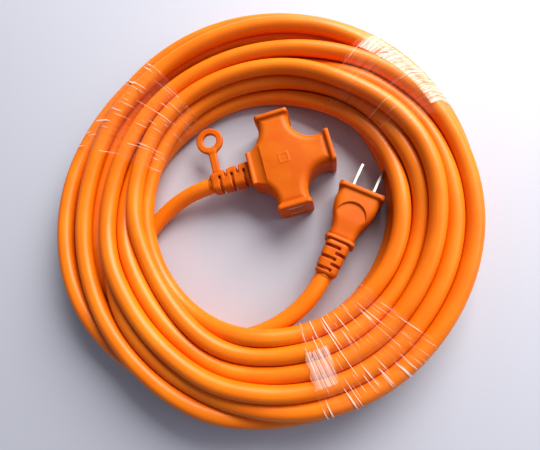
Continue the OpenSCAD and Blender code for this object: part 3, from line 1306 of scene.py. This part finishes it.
@dataclass
class Cord:
    """The whole cord, from inside the tap's strain relief, round the coil, to the plug's.

    Attributes:
        diameter: its diameter.
        length: its length, in metres.
        turns: where each turn should lie.
        sides: corners in its section.
        step: the distance between sections.
        centreline: its centreline, once it is built.
    """

    diameter: float = 10.0
    length: float = 10.0
    turns: Sequence[Turn] = (
        Turn((88, 89, 83, 81, 81, 87, 90, 92)),
        Turn((98, 99, 93, 91, 91.5, 97, 100, 102)),
        Turn((108, 108, 102, 100.5, 102, 107, 110, 112)),
        Turn((117.5, 113, 110, 110, 113, 117, 120, 122)),
        Turn((127, 121, 119, 119, 123, 127, 129, 129.5), (5, 5, 5, 5, 5, 5, 9, 19)),
        Turn((126.5, 117, 109, 108, 113, 118, 116, 113), (21, 14, 14, 14, 15, 24, 24, 24)),
        Turn((113.5, 116.5, 118, 118, 122, 124, 127.5, 124), (24, 23, 14, 14, 14, 15, 22, 16)),
        Turn((120, 108, 99, 97, 100, 115, 118, 115), (15, 14, 14, 14, 13, 14, 14, 14)),
        Turn((110, 99, 90, 87, 90, 105.5, 108, 104.5), (14, 14, 14, 14, 13, 14, 14, 15)),
        Turn((104, 107, 117, 117.7, 114, 103.5, 98.5, 97), (16, 20, 23.5, 24, 25, 24, 25, 25)),
        Turn((95, 97, 108, 109, 106, 97, 94, 89), (25, 26, 24, 22, 20, 15, 15, 17)),
        Turn((86.5, 88.5, 98, 101.7, 103, 94.5, 90, 85), (24, 24, 25, 24, 26, 22, 20, 20)),
        Turn((80, 82.5, 89, 93.5, 94, 87, 84, 81.5), (22, 22, 22, 20, 20, 14, 13, 13)),
        Turn((75.5, 77.5, 81, 85.5, 85, 81, 80.5, 81), (16, 19, 20, 21.5, 20, 11, 5.6, 6)),
        Turn((85.5, 86, 64, 64, 64, 64, 64, 64), (10, 14.5, 16, 16, 16, 16, 16, 16)),
    )
    sides: int = 20
    step: float = 3.6
    centreline: np.ndarray | None = None

    def path(self) -> np.ndarray:
        """The centreline of the whole cord.

        Returns:
            The points, in millimetres.
        """
        tap_end, plug_end = np.array(TAP_ROUTE, float), np.array(PLUG_ROUTE, float)
        coil = Coil(
            diameter=self.diameter,
            turns=self.turns,
            start=200.0,
            end=250.0,
            inner=71.5,
            outer=129.0,
            lean=6.0,
            lean_toward=145.0,
            leads=(tap_end[-3:], plug_end[-5:]),
        )
        wound = coil.points()
        tap_back = self.inside("tap_lead", tap_end)
        plug_back = self.inside("plug_lead", plug_end)
        line = np.vstack([tap_back, tap_end, wound, plug_end[::-1], plug_back])
        return even_steps(line, self.step)

    @staticmethod
    def inside(lead: str, route: np.ndarray) -> np.ndarray:
        """Where the cord starts inside its strain relief.

        Args:
            lead: the CAD node of the lead.
            route: the lead's points, from the mouth of the strain relief.

        Returns:
            One point, in millimetres.
        """
        joint = next(j for j in frame["joints"] if j["name"] == lead.replace("lead", "lift"))
        pivot = np.array(joint["pos_m"]) / MM
        return (route[0] + 0.3 * (pivot - route[0]))[None]

    def build(self, far_pieces: Sequence[Any]) -> bpy.types.Object:
        """Args:
            far_pieces: the pieces on its far end; not used.

        Returns:
            The cord's object.
        """
        path = self.path()
        self.centreline = path
        points, faces = sweep(path, self.diameter / 2, self.sides)
        cord = make_mesh("cord", points, faces)
        along = np.concatenate([[0], np.cumsum(np.linalg.norm(np.diff(path, axis=0), axis=1))])
        LOG.info("cord: %.3f m along its centreline", along[-1] * MM)
        self.unwrap(cord, along * MM)
        cord.data.materials.append(CordSheath().material())
        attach(cord, "cord")
        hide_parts("cord_coil", "tap_lead", "plug_lead")
        tuple(path[0] * MM)
        self.diameter * MM
        (path * MM).tolist()
        return cord

    def unwrap(self, cord: bpy.types.Object, along: np.ndarray) -> None:
        """Lays the sheath's own coordinates: metres along it, and turns round it.

        Args:
            cord: the cord's object.
            along: metres from the start, for each ring.
        """
        layer = cord.data.uv_layers.new(name="sheath")
        corners = np.zeros(len(cord.data.loops), int)
        cord.data.loops.foreach_get("vertex_index", corners)
        around = corners % self.sides / self.sides
        quads = len(around) // 4 * 4
        firsts = np.repeat(around[:quads:4], 4)
        around[:quads] += around[:quads] < firsts
        rings = along[corners // self.sides]
        layer.data.foreach_set("uv", np.stack([rings, around], axis=1).reshape(-1))


# ---------- film ties ----------


@dataclass
class FilmTie:
    """A strip of clear film that is stretched round the coil.

    Attributes:
        node: the CAD node that it stands for.
        finish: the film's look, with the direction of its middle.
        spread: the angle that it covers.
        clearance: how far it stands off the cord.
        inner: the cord is wound where it is further than this from the coil's centre.
        mean_radius: the coil's mean radius; not used.
        slice_half: half the angle of cord that each outline goes round, in degrees.
        columns: outlines along the coil.
        rows: corners in an outline.
    """

    node: str
    finish: StretchFilm
    spread: float = 34.0
    clearance: float = 0.35
    inner: float = 75.0
    mean_radius: float = 103.0
    slice_half: float = 2.2
    columns: int = 56
    rows: int = 168

    def build(self, path: np.ndarray, radius: float) -> bpy.types.Object:
        """Wraps the film round the cord's turns.

        Args:
            path: the cord's centreline, in millimetres.
            radius: the cord's radius.

        Returns:
            The film.
        """
        direction = np.degrees(np.arctan2(path[:, 1], path[:, 0]))
        far = np.hypot(path[:, 0], path[:, 1])
        wound = far > self.inner
        points = []
        for column in range(self.columns):
            share = column / (self.columns - 1)
            angle = self.finish.middle + self.spread * (share - 0.5)
            off = np.abs((direction - angle + 180) % 360 - 180)
            near = wound & (off < self.slice_half)
            loop = self.outline(np.stack([far[near], path[near, 2]], axis=1), radius)
            loop = self.crumpled(loop, share)
            turn = np.radians(angle + 0.35 * np.sin(np.arange(self.rows) * 0.55))
            points.append(
                np.stack([loop[:, 0] * np.cos(turn), loop[:, 0] * np.sin(turn), loop[:, 1]], axis=1)
            )
        faces = []
        for c in range(self.columns - 1):
            for r in range(self.rows):
                n = (r + 1) % self.rows
                a, b = c * self.rows, (c + 1) * self.rows
                faces.append([a + r, b + r, b + n, a + n])
        film = make_mesh(self.node + "_wrap", np.vstack(points), faces)
        film.data.materials.append(self.finish.material())
        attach(film, "cord")
        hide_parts(self.node)
        return film

    def outline(self, discs: np.ndarray, radius: float) -> np.ndarray:
        """The tight outline round one slice of the cord's turns.

        Args:
            discs: distance and height of each turn in the slice.
            radius: the cord's radius.

        Returns:
            Points at equal steps round the slice, from the table outwards.
        """
        turn = -np.pi / 2 + np.linspace(0, 2 * np.pi, 721)
        ray = np.stack([np.cos(turn), np.sin(turn)], axis=1)
        touched = discs[np.argmax(discs @ ray.T, axis=0)]
        rim = touched + (radius + self.clearance) * ray
        rim[:, 1] = np.maximum(rim[:, 1], 0.12)
        along = np.concatenate([[0], np.cumsum(np.linalg.norm(np.diff(rim, axis=0), axis=1))])
        places = np.linspace(0, along[-1], self.rows, endpoint=False)
        return np.stack([np.interp(places, along, column) for column in rim.T], axis=1)

    def crumpled(self, loop: np.ndarray, share: float) -> np.ndarray:
        """Lifts the outline a little away from its middle, above the lowest millimetre, by an amount
        that waves across the film, as thin film creeps under tension.

        Args:
            loop: the outline.
            share: how far across the film it is, from 0 to 1.

        Returns:
            The outline with shallow waves along the pull.
        """
        middle = loop.mean(0)
        wave = np.sin(share * 61.0) * 0.5 + np.sin(share * 113.0 + 2.0) * 0.3
        lift = 0.12 * (1 + wave) * (loop[:, 1] > 1.0)
        out = loop - middle
        return loop + lift[:, None] * out / np.linalg.norm(out, axis=1)[:, None]


@dataclass
class InnerParts:
    """The CAD nodes that keep their shape: blades, contacts, bus bars, carriers and cores."""

    finishes: dict[str, Finish] = field(
        default_factory=lambda: {
            "blade_carrier": RigidInsert((0.70, 0.66, 0.58)),
            "blade_": Plate(),
            "carrier_": RigidInsert(),
            "contact_": Plate((0.86, 0.83, 0.76), (0.70, 0.66, 0.58), 0.25),
            "bus_bar_": Plate((0.80, 0.58, 0.26), (0.60, 0.42, 0.18), 0.28),
            "tap_crimp_": Plate((0.80, 0.58, 0.26), (0.60, 0.42, 0.18), 0.28),
            "plug_crimp_": Plate((0.80, 0.58, 0.26), (0.60, 0.42, 0.18), 0.28),
            "tap_core_white": RigidInsert((0.82, 0.81, 0.78)),
            "plug_core_white": RigidInsert((0.82, 0.81, 0.78)),
            "tap_core_black": RigidInsert((0.02, 0.02, 0.022)),
            "plug_core_black": RigidInsert((0.02, 0.02, 0.022)),
        }
    )

    def dress(self) -> None:
        """Gives each node its finish."""
        for name, node in frame["nodes"].items():
            finish = next((f for key, f in self.finishes.items() if name.startswith(key)), Moulding())
            for slot in node.material_slots:
                slot.material = finish.material()
            if not node.material_slots:
                node.data.materials.append(finish.material())
        LOG.info("inner parts: %d nodes dressed", len(frame["nodes"]))


# ---------- the studio ----------


@dataclass
class Studio:
    """Pale table, soft window light and the camera.

    Attributes:
        lens: the focal length, in millimetres.
        sensor: the sensor's width, in millimetres.
        stand: where the camera is, in metres.
        straight_down: where straight down is in the view, at a distance of 1.
        table_half: half the table's side, in millimetres.
        sky: the colour of the room's light.
        sky_strength: its strength.
    """

    lens: float = 28.0
    sensor: float = 36.0
    stand: tuple[float, float, float] = (0.0423, -0.0556, 0.2613)
    straight_down: tuple[float, float] = (0.157, -0.183)
    table_half: float = 1600.0
    sky: tuple[float, float, float] = (0.80, 0.86, 1.0)
    sky_strength: float = 0.27

    def build(self) -> None:
        """Makes the camera, the table and the lights."""
        self.build_camera()
        self.build_table()
        self.build_lights()

    def build_camera(self) -> None:
        """Puts the camera over the coil, leaning so that straight down is a little off its axis."""
        camera = bpy.data.objects.new("camera", bpy.data.cameras.new("camera"))
        bpy.context.scene.collection.objects.link(camera)
        camera.data.lens = self.lens
        camera.data.sensor_width = self.sensor
        camera.data.clip_start = 0.01
        camera.location = self.stand
        camera.rotation_mode = "QUATERNION"
        down_in_view = Vector((*self.straight_down, -1.0))
        camera.rotation_quaternion = down_in_view.rotation_difference(Vector((0.0, 0.0, -1.0)))
        bpy.context.scene.camera = camera

    def build_table(self) -> None:
        """Lays the table top."""
        steps = np.linspace(-self.table_half, self.table_half, 9)
        points = [(x, y, 0.0) for y in steps for x in steps]
        faces = [
            [r * 9 + c, r * 9 + c + 1, (r + 1) * 9 + c + 1, (r + 1) * 9 + c]
            for r in range(8) for c in range(8)
        ]
        table = make_mesh("table_top", np.array(points), faces)
        table.data.materials.append(TableTop().material())

    def build_lights(self) -> None:
        """Hangs a window-like panel, a weak fill and the sky."""
        self.panel("window", (0.44, 0.76, 0.62), 0.8, 21.5, (1.0, 0.985, 0.955))
        self.panel("fill", (0.85, 0.05, 0.60), 0.5, 2.0, (0.96, 0.97, 1.0))
        world = bpy.data.worlds.new("room")
        world.use_nodes = True
        backdrop = world.node_tree.nodes["Background"]
        backdrop.inputs["Color"].default_value = (*self.sky, 1.0)
        backdrop.inputs["Strength"].default_value = self.sky_strength
        bpy.context.scene.world = world
        bpy.context.scene.view_settings.view_transform = "Standard"
        bpy.context.scene.view_settings.look = "Medium High Contrast"

    @staticmethod
    def panel(
        name: str, place: tuple[float, float, float], size: float, power: float,
        colour: tuple[float, float, float],
    ) -> None:
        """Hangs one square light that faces the coil.

        Args:
            name: the light's name.
            place: where it hangs, in metres.
            size: its side, in metres.
            power: watts.
            colour: its colour.
        """
        light = bpy.data.lights.new(name, "AREA")
        light.size = size
        light.energy = power
        light.color = colour
        lamp = bpy.data.objects.new(name, light)
        lamp.location = place
        lamp.rotation_mode = "QUATERNION"
        lamp.rotation_quaternion = (-Vector(place)).to_track_quat("-Z", "Y")
        bpy.context.scene.collection.objects.link(lamp)


TIES = (
    FilmTie("film_tie_north", StretchFilm(43.0, ((-15.0, 15.5, 0.109, 0.125),), 0.35, 40.0)),
    FilmTie("film_tie_south", StretchFilm(304.0, ((-20.5, -8.5, 0.086, 0.1065),), 1.0, -60.0)),
    FilmTie("film_tie_west", StretchFilm(144.0, ((20.0, 21.0, 0.09, 0.1),), 0.7, -90.0)),
)


def main() -> None:
    """Builds everything in order."""
    logging.basicConfig(level=logging.INFO, format="%(message)s")
    Studio().build()
    tap_seat, plug_seat = Tap.seat, Plug.seat
    tap_sleeve = Sleeve(
        tap_seat, "tap_sleeve", "tap", back=-20.0, length=27.5, thick=14.6, thin=12.6,
        pitch=27.5 / 7, long_side=-1, node="tap_boot",
    ).build()
    plug_sleeve = Sleeve(
        plug_seat, "plug_sleeve", "plug", back=-34.5, length=21.5, thick=14.6, thin=12.6,
        pitch=21.5 / 6.4, long_side=1, node="plug_boot",
    ).build()
    Tap().build()
    HangLoop().build()
    plug = Plug().build()
    cord = Cord()
    cord.build([plug_sleeve, plug, "blade_left", "blade_right"])
    for tie in TIES:
        tie.build(cord.centreline, cord.diameter / 2)
    InnerParts().dress()


if __name__ == "__main__":
    main()
